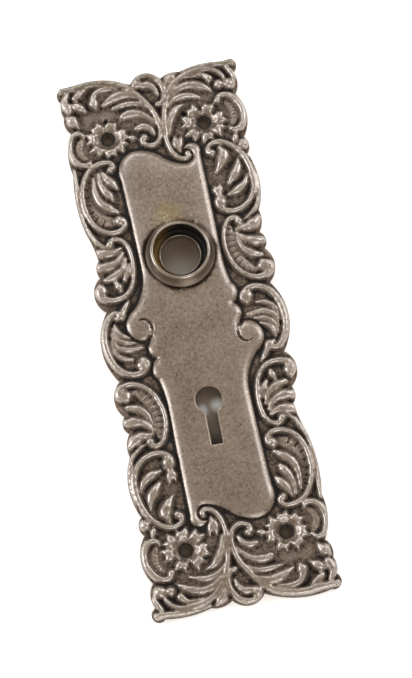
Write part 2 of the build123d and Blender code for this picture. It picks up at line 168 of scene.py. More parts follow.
# scrolls and leaves, as points along the crest with the half width there; 0 is a pointed tip
rolls = [
    # left stem, from its curl over the panel to the corner
    [(-5.8, 71.6, 0.84), (-5.2, 70.0, 1.05), (-3.6, 68.9, 1.12), (-1.6, 68.7, 1.12),
     (0.3, 69.9, 1.12), (1.4, 72.5, 1.12), (1.6, 75.5, 1.19), (0.7, 79.8, 1.26), (-1.7, 84.6, 1.26),
     (-5.4, 89.4, 1.33), (-9.5, 92.6, 1.4), (-14.5, 94.3, 1.53), (-20.0, 94.8, 1.61),
     (-25.5, 94.3, 1.54), (-30.2, 94.2, 1.26)],
    # right stem, from the panel's hook to the corner
    [(9.5, 63.9, 0.84), (9.8, 62.6, 1.05), (8.4, 61.7, 1.12), (6.3, 62.3, 1.12), (4.5, 64.3, 1.12),
     (3.4, 67.0, 1.12), (2.9, 71.0, 1.12), (3.2, 75.5, 1.19), (4.2, 80.6, 1.26), (6.1, 85.6, 1.26),
     (9.0, 89.5, 1.33), (13.0, 92.0, 1.4), (17.5, 93.1, 1.4), (21.8, 93.0, 1.26),
     (25.0, 91.6, 1.12), (26.7, 89.4, 0.98), (27.0, 87.6, 0.56)],
    # edge over the right stem
    [(12.6, 93.8, 0.56), (17.0, 94.6, 0.72), (22.0, 94.6, 1.09), (27.0, 94.1, 1.2),
     (30.4, 94.2, 1.4)],
    # scroll in the middle of the end
    [(-4.6, 91.6, 1.4), (-4.0, 93.4, 1.12), (-1.9, 94.5, 1.14), (0.7, 94.4, 1.26),
     (3.0, 92.9, 1.26), (4.7, 90.3, 1.26), (5.2, 87.5, 1.19), (4.6, 85.0, 1.12), (3.2, 83.4, 0.98),
     (1.8, 83.1, 0.84)],
    # last leaf of each stem, curled into a bulb
    [(-10.5, 91.4, 0.7), (-14.5, 92.1, 1.26), (-17.6, 91.7, 1.4), (-19.4, 90.0, 1.54),
     (-19.8, 87.6, 2.24), (-19.4, 86.0, 1.26)],
    [(12.0, 90.8, 0.56), (16.0, 91.3, 0.84), (19.6, 91.1, 1.12), (21.7, 89.4, 1.7),
     (21.3, 88.2, 0.9)],
    # corner volutes
    [(-28.4, 92.6, 1.12), (-29.6, 90.4, 1.5), (-29.4, 88.2, 2.0), (-28.6, 86.2, 1.4)],
    [(28.7, 92.4, 1.12), (30.1, 90.0, 1.2), (30.4, 88.4, 1.0), (30.2, 87.0, 0.5)],
    # small scrolls beside the rosettes
    [(-25.3, 76.3, 0.7), (-26.9, 77.7, 1.12), (-29.0, 77.0, 1.12), (-30.3, 74.5, 1),
     (-30.7, 71.5, 1.05), (-30.2, 68.5, 1.4), (-28.7, 66.4, 1.4), (-26.7, 65.5, 1.26),
     (-25.0, 66.0, 1.12), (-24.3, 67.2, 0.56)],
    [(23.3, 80.6, 1.4), (23.6, 82.0, 1.26), (25.5, 82.6, 1.26), (27.8, 81.8, 1.4),
     (29.7, 79.6, 1.47), (31.0, 76.6, 1.4), (31.0, 73.0, 1.44), (29.8, 70.2, 1.4),
     (27.8, 69.1, 1.26), (26.1, 69.5, 1.12), (25.4, 70.8, 0.56)],
    # upper left scroll and the edge beside it
    [(-18.3, 62.2, 1.54), (-16.9, 63.2, 0.98), (-17.9, 64.9, 1.05), (-20.5, 65.4, 1.12),
     (-23.5, 64.7, 1.19), (-26.2, 62.7, 1.19), (-28.3, 59.3, 1.26), (-29.4, 55.5, 1.26),
     (-29.6, 51.5, 1.26), (-29.1, 47.6, 1.26), (-27.6, 43.7, 1.26), (-25.0, 40.9, 1.19),
     (-21.8, 39.5, 1.19), (-18.8, 39.8, 1.19), (-16.9, 41.4, 1.12), (-17.0, 43.5, 1.05),
     (-18.6, 44.6, 0.98), (-20.2, 43.9, 0.56)],
    [(-30.6, 64.6, 0.7), (-30.7, 60.0, 0.84), (-31.2, 54.5, 0.84), (-31.2, 49.5, 0.7),
     (-30.5, 44.6, 0.73), (-29.2, 40.7, 0.91), (-27.6, 37.4, 0.91), (-25.8, 35.4, 0.84),
     (-24.4, 34.4, 0.42)],
    # second left scroll
    [(-23.2, 35.4, 1.68), (-22.4, 36.9, 1.26), (-20.6, 37.0, 1.12), (-18.7, 35.9, 1.05),
     (-17.3, 33.5, 1.05), (-16.7, 30.0, 1.05), (-16.7, 26.0, 1.05), (-17.4, 22.0, 1.05),
     (-18.9, 18.7, 1.12), (-21.3, 16.4, 1.19), (-24.3, 15.6, 1.26), (-27.0, 15.9, 1.4),
     (-29.0, 17.2, 1.82), (-29.4, 19.3, 2.33), (-28.9, 21.0, 1.4)],
    # middle left scroll and its upper curl
    [(-24.6, 11.0, 0.84), (-26.6, 10.8, 1.26), (-28.6, 8.9, 1.4), (-30.2, 6.0, 1.47),
     (-31.0, 2.5, 1.48), (-31.0, -1.0, 1.54), (-30.3, -4.5, 1.47), (-28.8, -7.8, 1.4),
     (-26.5, -10.3, 1.4), (-23.5, -11.6, 1.4), (-20.6, -11.3, 1.4), (-18.6, -9.9, 1.33),
     (-18.1, -8.1, 1.26), (-19.3, -6.7, 1.12), (-21.0, -6.8, 0.56)],
    [(-25.6, 8.6, 0.7), (-24.2, 9.7, 2.1), (-22.9, 11.2, 1.4), (-21.5, 13.2, 1.12),
     (-20.3, 14.8, 0.42)],
    # upper right scroll and the edge beside it
    [(17.7, 61.6, 1.54), (16.3, 62.4, 1.05), (16.8, 64.4, 1.12), (19.0, 65.6, 1.19),
     (22.0, 65.3, 1.26), (25.3, 63.1, 1.26), (27.9, 59.7, 1.33), (29.5, 55.2, 1.4),
     (30.0, 50.3, 1.4), (29.3, 45.8, 1.4), (27.2, 42.4, 1.33), (24.2, 40.4, 1.26),
     (21.0, 39.8, 1.26), (18.2, 40.6, 1.33), (16.5, 42.4, 1.4), (16.3, 44.5, 1.33),
     (17.5, 45.8, 1.12), (19.0, 45.4, 0.56)],
    [(30.6, 58.6, 0.4), (31.2, 54.0, 0.55), (31.3, 49.5, 0.84), (30.7, 44.5, 0.91),
     (29.2, 40.4, 0.91), (26.6, 37.6, 0.84), (24.0, 36.1, 0.42)],
    # second right scroll
    [(22.2, 35.5, 1.68), (21.6, 37.0, 1.26), (19.8, 37.3, 1.19), (17.8, 36.0, 1.12),
     (16.4, 33.0, 1.12), (15.7, 29.5, 1.12), (15.8, 26.0, 1.12), (16.9, 22.0, 1.12),
     (18.4, 19.1, 1.12), (20.6, 16.7, 1.19), (23.5, 15.1, 1.26), (26.3, 14.8, 1.4),
     (28.8, 15.9, 1.68), (29.0, 18.0, 2.45), (27.2, 19.8, 1.4)],
]
leaves = [
    # off the left stem
    [(-0.8, 72.9, 0.9), (-2.0, 75.0, 1.4), (-4.2, 76.2, 1.6), (-6.4, 75.9, 1.2)],
    [(0.2, 76.6, 0.8), (-1.2, 78.4, 1.2), (-3.0, 80.1, 1.5), (-5.4, 81.3, 1.8), (-8.2, 81.6, 1.9),
     (-10.4, 81.1, 1.5)],
    [(-1.0, 82.3, 0.8), (-3.6, 84.4, 1.2), (-7.2, 85.3, 1.4), (-10.2, 85.2, 1.3),
     (-13.4, 84.8, 0.6)],
    [(-3.8, 86.8, 0.9), (-8.0, 89.0, 2.0), (-12.0, 88.7, 2.2), (-15.0, 87.4, 1.5),
     (-17.0, 86.4, 0.7)],
    [(-21.6, 93.4, 0.8), (-24.2, 92.0, 1.7), (-25.8, 90.6, 1.6), (-25.6, 89.6, 0.8)],
    # beside its curl, and in the corner
    [(-7.4, 72.4, 0.6), (-8.7, 72.7, 1.3), (-10.2, 73.3, 0.6)],
    [(-27.4, 88.4, 1.0), (-26.0, 87.6, 1.9), (-24.4, 86.6, 1.8), (-23.2, 85.6, 0.7)],
    # off the right stem
    [(6.9, 64.8, 0.8), (6.1, 67.0, 1.6), (6.0, 69.0, 1.5), (6.0, 70.4, 0.7)],
    [(7.0, 65.4, 0.8), (7.4, 67.4, 1.3), (8.0, 69.2, 1.0), (8.4, 70.4, 0.4)],
    [(4.2, 71.5, 0.9), (5.2, 75.5, 1.6), (6.9, 78.8, 1.9), (9.0, 80.8, 1.4), (11.0, 81.5, 0.6)],
    [(5.0, 80.8, 0.7), (8.0, 83.6, 1.2), (11.4, 84.7, 1.5), (14.4, 84.4, 1.3), (17.4, 83.2, 0.5)],
    [(6.2, 84.2, 0.8), (9.8, 87.3, 1.6), (13.8, 88.4, 1.9), (17.6, 87.6, 1.9), (20.4, 86.0, 1.2),
     (21.8, 84.9, 0.5)],
    # beside the middle scroll and in it
    [(6.2, 88.3, 0.9), (7.4, 91.0, 1.8), (9.1, 92.6, 1.7), (10.3, 93.6, 0.8)],
    [(-2.2, 91.2, 1.5), (0.4, 91.0, 1.8), (2.2, 89.2, 1.3), (3.0, 86.8, 0.7)],
    # lobes on the edge, under the corners and under the rosettes
    [(-29.6, 84.2, 0.9), (-28.4, 82.8, 2.2), (-27.2, 81.2, 1.6), (-26.4, 79.8, 0.6)],
    [(27.4, 67.8, 0.6), (26.6, 66.0, 1.3), (26.4, 64.2, 0.6)],
    [(27.4, 62.6, 1.0), (28.9, 63.3, 2.2), (30.2, 63.8, 0.8)],
    # in the upper left scroll
    [(-21.2, 62.0, 0.8), (-20.0, 59.2, 1.8), (-18.4, 57.0, 1.8), (-17.2, 55.4, 0.8)],
    [(-22.8, 61.8, 0.8), (-22.6, 58.0, 1.3), (-21.3, 54.6, 1.8), (-20.0, 52.6, 1.7),
     (-19.4, 51.6, 1.0)],
    [(-24.8, 60.4, 0.7), (-25.0, 55.4, 1.4), (-23.8, 51.2, 1.8), (-21.2, 48.6, 1.9),
     (-18.4, 46.6, 0.9)],
    # in the second left scroll
    [(-19.8, 33.6, 0.8), (-22.6, 32.4, 1.7), (-25.4, 32.6, 2.3), (-27.2, 33.2, 1.7)],
    [(-19.4, 31.8, 0.8), (-22.2, 28.8, 1.7), (-25.4, 27.8, 2.2), (-27.8, 28.0, 1.7)],
    [(-18.8, 29.6, 0.8), (-20.7, 26.0, 1.5), (-23.6, 24.2, 1.9), (-26.6, 23.1, 1.1)],
    [(-18.0, 27.4, 0.7), (-18.9, 24.6, 1.5), (-20.4, 22.2, 1.0)],
    [(-23.5, 21.6, 1.0), (-22.9, 20.0, 1.6), (-22.5, 18.6, 1.0)],
    # in the middle left scroll
    [(-26.9, 7.0, 0.6), (-25.6, 3.4, 1.1), (-22.4, 1.4, 0.5)],
    [(-27.8, 6.0, 0.5), (-27.0, 2.3, 1.0), (-24.5, 0.1, 1.2), (-20.9, -0.5, 0.4)],
    [(-28.6, 4.0, 0.5), (-27.6, -0.4, 1.1), (-24.5, -2.5, 1.4), (-18.9, -2.6, 0.4)],
    [(-29.2, 1.5, 0.5), (-28.3, -3.0, 1.1), (-25.9, -5.3, 1.2), (-22.7, -6.2, 0.5)],
    # in the upper right scroll
    [(20.7, 63.4, 1.2), (21.4, 60.6, 2.5), (20.1, 57.6, 2.0), (17.9, 54.8, 0.5)],
    [(26.2, 58.3, 0.7), (25.4, 55.0, 1.9), (23.7, 52.4, 2.1), (21.7, 50.2, 1.0)],
    [(28.3, 52.0, 0.6), (26.6, 48.8, 1.6), (23.6, 46.9, 1.8), (20.6, 46.0, 0.7)],
    [(17.0, 46.6, 1.2), (16.5, 48.4, 1.5), (16.2, 49.8, 0.7)],
    [(17.4, 46.6, 1.2), (17.9, 48.6, 1.5), (18.3, 50.4, 0.7)],
    # in the second right scroll
    [(21.0, 33.2, 0.8), (24.6, 33.2, 2.0), (27.2, 34.4, 2.2), (28.8, 35.8, 1.3)],
    [(20.4, 31.8, 0.8), (23.3, 28.9, 1.8), (26.4, 27.8, 2.2), (28.6, 27.6, 1.5)],
    [(20.2, 30.0, 0.7), (21.5, 26.4, 1.5), (24.0, 23.8, 1.9), (27.4, 22.4, 1.0)],
]
# low blades that carry the leaves
blades = [
    [(-1.0, 79.5, 1.2), (-4.0, 84.5, 3.6), (-9.0, 88.2, 4.6), (-15.0, 89.6, 3.6),
     (-19.0, 89.4, 1.8)],
    [(0.5, 75.0, 1.0), (-3.4, 79.0, 2.6), (-8.0, 80.9, 2.2), (-11.0, 80.4, 1.2)],
    [(3.6, 78.0, 1.2), (7.0, 83.5, 3.6), (12.0, 87.0, 4.2), (17.5, 87.4, 3.2), (21.0, 86.4, 1.4)],
    [(-28.2, 5.0, 1.0), (-26.2, 1.0, 3.0), (-23.2, -1.6, 3.4), (-19.6, -2.2, 1.4)],
]
# low bands inside the scrolls: how high each stands, the ticks cut in it (how far apart, how deep,
# from where to where across it), and its points; the two plain ones have one faint tick
bands = [
    (0.35, 2.7, 0.4, 0.0, 0.75, [
        (-21.8, 63.0, 0.9), (-24.8, 61.4, 1.4), (-26.9, 58.2, 1.7), (-27.5, 54.0, 1.8),
        (-27.2, 50.0, 1.9), (-25.9, 46.8, 2.3), (-23.6, 44.6, 2.5), (-21.0, 43.6, 1.8),
    ]),
    (0.35, 50, 0.1, 0, 0.1, [
        (23.8, 62.6, 0.9), (26.4, 59.4, 1.2), (27.8, 55.0, 1.4), (27.9, 50.0, 1.4), (27.0, 47.0, 0.8),
    ]),
    (0.35, 50, 0.1, 0, 0.1, [
        (-26.0, 75.3, 0.9), (-27.9, 72.2, 1.3), (-27.5, 69.2, 1.3), (-25.8, 67.8, 0.9),
    ]),
    (0.4, 1.4, 0.15, -0.1, 0.8, [
        (24.6, 80.8, 0.9), (27.0, 79.4, 1.4), (28.2, 77.0, 1.5), (28.1, 74.0, 1.5), (26.9, 71.4, 0.9),
    ]),
    (0.6, 2.1, 0.24, -0.4, 0.8, [
        (18.2, 34.4, 1.2), (18.2, 30.0, 2.0), (18.6, 25.8, 2.1), (20.2, 21.6, 1.9),
        (22.6, 18.6, 1.6), (25.0, 17.4, 0.9),
    ]),
]
# round beads in the eyes of the curls
beads = [
    (-4.5, 72.0, 1.6), (9.3, 63.5, 1.2), (-3.5, 92.0, 2.2), (2.4, 83.4, 1.3), (23.2, 80.8, 1.6),
    (29.0, 63.4, 2.2), (-18.2, 62.5, 1.5), (17.6, 62.0, 1.6), (-18.4, 43.3, 2.0), (17.4, 43.6, 2.5),
    (-23.3, 35.6, 1.6), (22.0, 35.6, 1.6), (-29.0, 19.5, 2.4), (27.5, 18.5, 2.5), (-24.0, 9.6, 2.0),
    (-25.7, 8.8, 1.1), (-19.9, -8.8, 2.3), (-19.8, 87.4, 2.1), (21.7, 89.3, 1.7), (-28.3, 82.8, 2.1),
    (28.2, 86.4, 2.4), (24.7, 86.8, 2.0),
]
# rosette petals round each screw: how they point, in degrees, and how far they reach; the rosettes
# at the upper right and the lower left reach further
petals = [(6, 7.4), (66, 6.6), (126, 7.2), (172, 7.4), (222, 7.4), (273, 6.9), (322, 7.4)]
drawn_reach, further = 7.2, 0.7
# the two lobes of a petal: how far out, how many degrees to one side, and the half width there
petal_lobes = (
    ((3.4, -4, 1.3), (4.8, -7, 1.8), (6.0, -10, 1.6), (7.3, -13, 0.5)),
    ((3.4, 4, 1.3), (4.8, 7, 1.8), (5.8, 10, 1.6), (6.9, 13, 0.5)),
)
heart_radius, heart_width = 3.5, 0.7
rosettes = []
for turn, reach in petals:
    for x, y in screw_places:
        scale = (reach + (further if x * y > 0 else 0)) / drawn_reach
        for lobe in petal_lobes:
            ways = [radians(turn + aside + (180 if y < 0 else 0)) for _, aside, _ in lobe]
            rosettes.append([
                (x + r * scale * cos(way), y + r * scale * sin(way), w)
                for way, (r, _, w) in zip(ways, lobe)
            ])
for x, y in screw_places:
    heart = ring(x, y, heart_radius, 12)
    rosettes.append([(*p, heart_width) for p in (*heart, heart[0])])


def smooth_line(points, step=0.2):
    """Points set closely along a smooth line through the given ones."""
    p = np.array(points, float)
    p = np.vstack([2 * p[0] - p[1], p, 2 * p[-1] - p[-2]])
    line = []
    for a, b, c, d in zip(p, p[1:], p[2:], p[3:]):
        count = max(2, ceil(np.hypot(*(c - b)[:2]) / step))
        t = (np.arange(count) / count)[:, None]
        bend = 2 * a - 5 * b + 4 * c - d + t * (3 * (b - c) + d - a)
        line.append(b + 0.5 * t * (c - a + t * bend))
    line.append(p[-2:-1])
    line = np.vstack(line)
    line[:, 2] = np.maximum(line[:, 2], 0.02)
    return line


def half_round(u):
    return np.sqrt(np.maximum(0, 1 - u * u))


def reeded(u):
    """A roll with a shallow groove along its crest."""
    return np.maximum(0, 1 - u * u) ** 0.6 * (1 - 0.16 * np.exp(-((u / 0.25) ** 2)))


def lobed(u):
    """A leaf with a soft crest."""
    return np.maximum(0, 1 - np.abs(u) ** 2.8)


def flat_topped(u):
    return np.maximum(0, 1 - u**8)


def stroke(points, steepness, profile):
    """A line along a crest, with how high it stands at each point and its profile."""
    return points, np.minimum(steepness * np.sqrt(points[:, 2]), tallest_ridge), profile


def level(points, height, profile):
    """A line that stands equally high all along."""
    line = smooth_line(points)
    return line, np.full(len(line), height), profile


# a stroke's height is its steepness times the root of its half width
roll_steepness, leaf_steepness, petal_steepness, bead_steepness = 1.9, 1.45, 1.25, 1.75
blade_height, tick_width, pit_steepness, curl_depth = 0.55, 0.33, 0.8, 1.0
plump = (1, 1, 1.12)
strokes, nicks = [], []
for points in rolls:
    strokes += [stroke(smooth_line(p), roll_steepness, reeded) for p in both_halves(points)]
for points in leaves:
    strokes += [stroke(smooth_line(p) * plump, leaf_steepness, lobed) for p in both_halves(points)]
strokes += [stroke(smooth_line(p), petal_steepness, lobed) for p in rosettes]
for points in blades:
    strokes += [level(p, blade_height, lobed) for p in both_halves(points)]
for height, pitch, depth, start, end, points in bands:
    for p in both_halves(points):
        strokes.append(level(p, height, flat_topped))
        line = smooth_line(p)
        steps = np.gradient(line[:, :2], axis=0)
        travel = np.cumsum(np.hypot(*steps.T))
        for k in np.searchsorted(travel, np.arange(1, travel[-1] - 1, pitch)):
            sideways = np.array([steps[k, 1], -steps[k, 0]]) / np.hypot(*steps[k]) * line[k, 2]
            tick = [(*(line[k, :2] + sideways * e), tick_width) for e in (start, end)]
            nicks.append(level(tick, depth, lobed))
for x, y, radius in beads:
    for way in (1, -1):
        strokes.append(stroke(np.array([(way * x, way * y, radius)]), bead_steepness, half_round))
# two deep pits beside the upper rosettes
for pit in ((-16.7, 80.4, 1.0), (10.8, 78.4, 1.2)):
    nicks.append(stroke(np.array([pit]), pit_steepness, lobed))
# the panel's ears are curled: a groove runs round each
curl = [
    (-16.6, -0.4, 0.6), (-15.2, 1.2, 0.65), (-14.4, 3.0, 0.65), (-14.5, 4.9, 0.6),
    (-15.6, 6.5, 0.5), (-17.2, 7.0, 0.35), (-18.6, 6.6, 0.1),
]
grooves = [level(p, curl_depth, lobed) for p in both_halves(curl)]


def standing(points, lines):
    """How high the lines' shapes stand at each point, run softly into one another."""
    power = 6
    total = np.zeros(len(points))
    for line, rises, profile in lines:
        widest = line[:, 2].max()
        low, high = line[:, :2].min(axis=0) - widest, line[:, :2].max(axis=0) + widest
        near = np.flatnonzero(((points > low) & (points < high)).all(axis=1))
        for part in np.array_split(near, len(near) // 2000 + 1):
            gaps = np.hypot(*(points[part, None] - line[None, :, :2]).transpose(2, 0, 1))
            closest = gaps.argmin(axis=1)
            u = np.minimum(gaps[np.arange(len(part)), closest] / line[closest, 2], 1)
            total[part] += (rises[closest] * profile(u)) ** power
    return np.minimum(total ** (1 / power), tallest_ridge)


def quarter_round(depth, radius):
    """How far a rounded edge has fallen at a depth inside it."""
    across = np.clip(radius - depth, 0, radius)
    return radius - np.sqrt(radius * radius - across * across)


# the panel's edge: worn down, a little domed, with a short side; the rim and the keyhole are eased
worn_drop, worn_width = 0.8, 2.2
dome_drop, dome_width = 0.12, 6
side_height, side_width = 0.7, 0.4
rim_radius = 0.9
key_bevel, key_bevel_width = 0.25, 0.45
far_inside = 9.0


def front_height(points, to_rim, to_panel):
    """The height of the plate's face over the door."""
    rise = np.where(to_panel > -0.3, 0, standing(points, strokes))
    panel = np.where(
        to_panel > 0,
        panel_height - ground_height - worn_drop * np.clip(1 - to_panel / worn_width, 0, 1) ** 2
        - dome_drop * np.clip(1 - to_panel / dome_width, 0, 1) ** 2 - standing(points, grooves),
        np.clip(side_height + to_panel / side_width * side_height, 0, side_height),
    )
    height = ground_height + np.maximum(rise, panel) - quarter_round(to_rim, rim_radius)
    low, high = keyhole.min(axis=0) - 1, keyhole.max(axis=0) + 1
    near_key = ((points > low) & (points < high)).all(axis=1)
    from_key = -distance(points[near_key], keyhole)
    height[near_key] -= key_bevel * np.clip(1 - from_key / key_bevel_width, 0, 1)
    for x, y in screw_places:
        out = np.hypot(points[:, 0] - x, points[:, 1] - y)
        dish = (np.maximum(out, screw_hole_radius) - countersink_radius) * countersink_slope
        sunk = np.minimum(height, ground_height + dish)
        height = np.where(out < 2 * countersink_radius, sunk, height)
    return height


def hexagons(spacing):
    """Points in staggered rows, over more than the whole plate."""
    half_width, half_length = 33, 97
    xs = np.arange(-half_width, half_width, spacing)
    ys = np.arange(-half_length, half_length, spacing * 0.866)
    x, y = np.meshgrid(xs, ys)
    x[1::2] += spacing / 2
    return np.column_stack([x.ravel(), y.ravel()])


def inset(line, amount):
    """The points of a closed line moved inwards, without those that come too near it again."""
    along = np.roll(line, -1, axis=0) - np.roll(line, 1, axis=0)
    along /= np.hypot(*along.T)[:, None]
    area = (line[:, 0] * np.roll(line[:, 1], -1) - line[:, 1] * np.roll(line[:, 0], -1)).sum()
    side = np.sign(area) * amount
    moved = line + side * np.column_stack([-along[:, 1], along[:, 0]])
    return moved[np.abs(distance(moved, line)) > abs(amount) * 0.93]


def fill(loops, others=(), spare=0.12):
    """Triangles of the face inside the first loop and outside the rest, with other points on it."""
    loose = np.vstack(others) if len(others) else np.zeros((0, 2))
    keep = inside(loose, loops[0])
    for hole in loops[1:]:
        keep &= ~inside(loose, hole)
    loose = loose[keep]
    for line in loops:
        loose = loose[np.abs(distance(loose, line)) > spare] if len(loose) else loose
    points = np.vstack([*loops, loose])
    edges, start = [], 0
    for line in loops:
        n = len(line)
        edges += [(start + i, start + (i + 1) % n) for i in range(n)]
        start += n
    found, _, faces, *_ = delaunay_2d_cdt([Vector(p) for p in points], edges, [], 0, 1e-6)
    points, faces = np.array([tuple(p) for p in found]), np.array(faces)
    middles = points[faces].mean(axis=1)
    keep = inside(middles, loops[0])
    for hole in loops[1:]:
        keep &= ~inside(middles, hole)
    return points, faces[keep]


def in_ears(points):
    """Which points lie about the panel's ears."""
    return (np.abs(points[:, 1]) < 9) & (np.abs(points[:, 0]) > 12.5)


# points of the face: close together in the ornament, wide apart on the panel, and in rows along
# every edge
dense, wide = hexagons(fine), hexagons(coarse)
dense = dense[distance(dense, rim) > 0.75]
into_panel = distance(dense, panel_edge)
dense = dense[(into_panel < -0.6) | (in_ears(dense) & (into_panel > 2.5))]
wide = wide[(distance(wide, panel_edge) > 2.8) & ~in_ears(wide)]
rim_rows, keyhole_rows = (0.12, 0.3, 0.55), (-0.45, -0.6)
panel_rows = (-0.42, -0.2, 0.0001, 0.12, 0.35, 0.7, 1.15, 1.7, 2.3)
countersink_rows, collar_row = (2.0, 2.35, 2.7, 3.0), 0.6
rows = [inset(rim, e) for e in rim_rows] + [inset(panel_edge, e) for e in panel_rows]
for x, y in screw_places:
    rows += [ring(x, y, r, 44) for r in countersink_rows]
rows += [inset(keyhole, e) for e in keyhole_rows]
rows.append(ring(0, collar_y, spigot_radius + collar_row, 90))
face, face_faces = fill([rim, *holes], [dense, wide, *rows])
to_rim, to_panel = np.maximum(distance(face, rim), 0), distance(face, panel_edge)
face_height = front_height(face, to_rim, to_panel)
sides = np.vstack([face_faces[:, pair] for pair in ([0, 1], [1, 2], [2, 0])])
links = np.unique(np.sort(sides, axis=1), axis=0)
neighbours = np.bincount(links.ravel(), minlength=len(face))


def softened(values, rounds):
    """Each point's value shared with its neighbours, again and again."""
    for _ in range(rounds):
        total = np.bincount(links[:, 0], values[links[:, 1]], len(face))
        total += np.bincount(links[:, 1], values[links[:, 0]], len(face))
        values = (values + total / neighbours) / 2
    return values


# a die leaves soft shapes, except along the rim, the panel and the holes
soft = (to_panel < -0.6) & (to_rim > 0.6)
for x, y in screw_places:
    soft &= np.hypot(face[:, 0] - x, face[:, 1] - y) > countersink_radius
chance = np.random.default_rng(7)


def lumps(size):
    """Waves in many directions across the face, as a die's rough ground leaves them."""
    waves = 14
    total = np.zeros(len(face))
    for way, phase in chance.uniform(0, 2 * pi, (waves, 2)):
        total += np.sin((face[:, 0] * cos(way) + face[:, 1] * sin(way)) * 2 * pi / size + phase)
    return total / waves**0.5


in_ground = np.clip(1.3 - (face_height - ground_height) / 0.5, 0, 1)
ripple, pebble, grit = 0.05, 0.09, 0.07
uneven = ripple * lumps(2.3) + in_ground * (pebble * lumps(1.5) + grit * chance.normal(size=len(face)))
face_height = np.where(soft, softened(face_height, 2) - standing(face, nicks), face_height)
proud = face_height - softened(face_height, 24)
rise = face_height - ground_height
face_height = np.where(soft, face_height + uneven, face_height)

# old dirt and painted shade: dirt in the ground; dirt and painted shade in the hollows, and black
# along the panel, the painted shade most at its left; a painted dark line of shade along the rim;
# darker countersinks in the screw holes; the panel has it only in its grooves, and the cut edges,
# which come first, evenly, as dirt and the painted shade of their sides
panel_dirt_and_shade = np.where(face[:, 0] < 0, 1.3, 0.8) * np.exp(np.minimum(to_panel, 0) / 1.6)
rim_shade = 0.4 * np.exp(-to_rim / 0.25)
dark_countersinks = sum(np.hypot(face[:, 0] - x, face[:, 1] - y) < 2.5 for x, y in screw_places)
hollow_dirt_and_shade = -2.2 * proud * np.clip(to_rim / rim_radius, 0, 1)
ground_dirt = 0.56 - 0.75 * np.clip(rise, 0, 0.6)
relief_dirt_and_shade = np.clip(ground_dirt + hollow_dirt_and_shade + panel_dirt_and_shade + rim_shade + dark_countersinks, 0, 1.8)
old_dirt_and_shade = np.where(to_panel > -0.2, np.clip(-1.5 * proud, 0, 1), relief_dirt_and_shade)
edge_points = len(rim) + sum(len(hole) for hole in holes)
edge_dirt_and_shade, proudest = 0.8, 0.9
old_dirt_and_shade[:edge_points] = edge_dirt_and_shade


def back_height(points):
    """The hollow behind the face: the sheet's thickness under it, less sharp than the face."""
    heights, blur = [], 0.9
    for step in ((0, 0), *ring(0, 0, blur, 6)):
        spots = points + np.array(step)
        to_rim = np.full(len(spots), far_inside)
        heights.append(front_height(spots, to_rim, distance(spots, panel_edge)))
    heights = np.array(heights)
    return np.minimum(heights.mean(axis=0) - sheet, heights.min(axis=0) - 0.5 * sheet)


# the back, less fine than the face, and the flat foot that runs round it
back_edge_step, back_spacing = 0.9, 1.1
inner_rim = inset(arcs(half_rim + half_turn(half_rim), back_edge_step), sheet)
back_spots = hexagons(back_spacing)
back_spots = back_spots[distance(back_spots, inner_rim) > 0.6]
back, back_faces = fill([inner_rim, *holes], [back_spots])
foot_ring, foot_ring_faces = fill([rim, inner_rim])
patches = [
    (face, face_height, face_faces),
    (back, back_height(back), back_faces),
    (foot_ring, np.zeros(len(foot_ring)), foot_ring_faces),
]
at_rim = np.zeros(len(rim))
walls = [
    (rim, front_height(rim, at_rim, distance(rim, panel_edge)), at_rim),
    (inner_rim, back_height(inner_rim), np.zeros(len(inner_rim))),
]
for hole in holes:
    inland = np.full(len(hole), far_inside)
    walls.append((hole, front_height(hole, inland, distance(hole, panel_edge)), back_height(hole)))
for line, top, bottom in walls:
    n = len(line)
    i = np.arange(n)
    j = (i + 1) % n
    patches.append((
        np.vstack([line, line]), np.concatenate([top, bottom]),
        np.vstack([np.column_stack([i, j, j + n]), np.column_stack([i, j + n, i + n])]),
    ))

corners = np.vstack([np.column_stack([p, z]) for p, z, _ in patches])
corners = np.clip(corners, *(np.array(cad_box) * 1000))
starts = np.cumsum([0] + [len(p) for p, _, _ in patches[:-1]])
triangles = np.vstack([f + start for (_, _, f), start in zip(patches, starts)])
plate_mesh = bpy.data.meshes.new("pressed_door_plate")
plate_mesh.from_pydata((corners * 0.001).tolist(), [], triangles.tolist())


def keep_values(mesh, name, values):
    """A value for each point of a mesh, for its material."""
    mesh.attributes.new(name, "FLOAT", "POINT").data.foreach_set("value", values)


def turn_outwards(mesh):
    """Joins the points that lie on one another and turns every face outwards."""
    shell = bmesh.new()
    shell.from_mesh(mesh)
    bmesh.ops.remove_doubles(shell, verts=shell.verts, dist=2e-6)
    bmesh.ops.recalc_face_normals(shell, faces=shell.faces)
    shell.to_mesh(mesh)
    shell.free()


for name, values, elsewhere in (
    ("dirt_and_shade", old_dirt_and_shade, edge_dirt_and_shade),
    ("proud", np.clip(proud / proudest, 0, 1), 0),
    ("wall", np.arange(len(face)) < edge_points, 1),
):
    others = np.full(len(corners) - len(face), elsewhere)
    keep_values(plate_mesh, name, np.append(values, others))
turn_outwards(plate_mesh)
plate_mesh.shade_smooth()
plate_mesh.set_sharp_from_angle(angle=radians(60))
door_plate = bpy.data.objects.new("pressed_door_plate", plate_mesh)
bpy.context.scene.collection.objects.link(door_plate)


def linear(hex_colour):
    """An sRGB colour, as six hex digits, for a shader."""
    parts = [int(hex_colour[i:i + 2], 16) / 255 for i in (0, 2, 4)]
    return *(c / 12.92 if c < 0.04045 else ((c + 0.055) / 1.055) ** 2.4 for c in parts), 1


def add(tree, kind, inputs=(), **settings):
    """One node with its settings, and its inputs by name or number set or linked."""
    node = tree.nodes.new(kind)
    for key, value in settings.items():
        setattr(node, key, value)
    for key, value in dict(inputs).items():
        if isinstance(value, bpy.types.NodeSocket):
            tree.links.new(value, node.inputs[key])
        else:
            node.inputs[key].default_value = value
    return node


rgba, eased = {"data_type": "RGBA"}, {"interpolation_type": "SMOOTHSTEP"}
scaled_sum, apart = {"operation": "MULTIPLY_ADD"}, {"operation": "DISTANCE"}
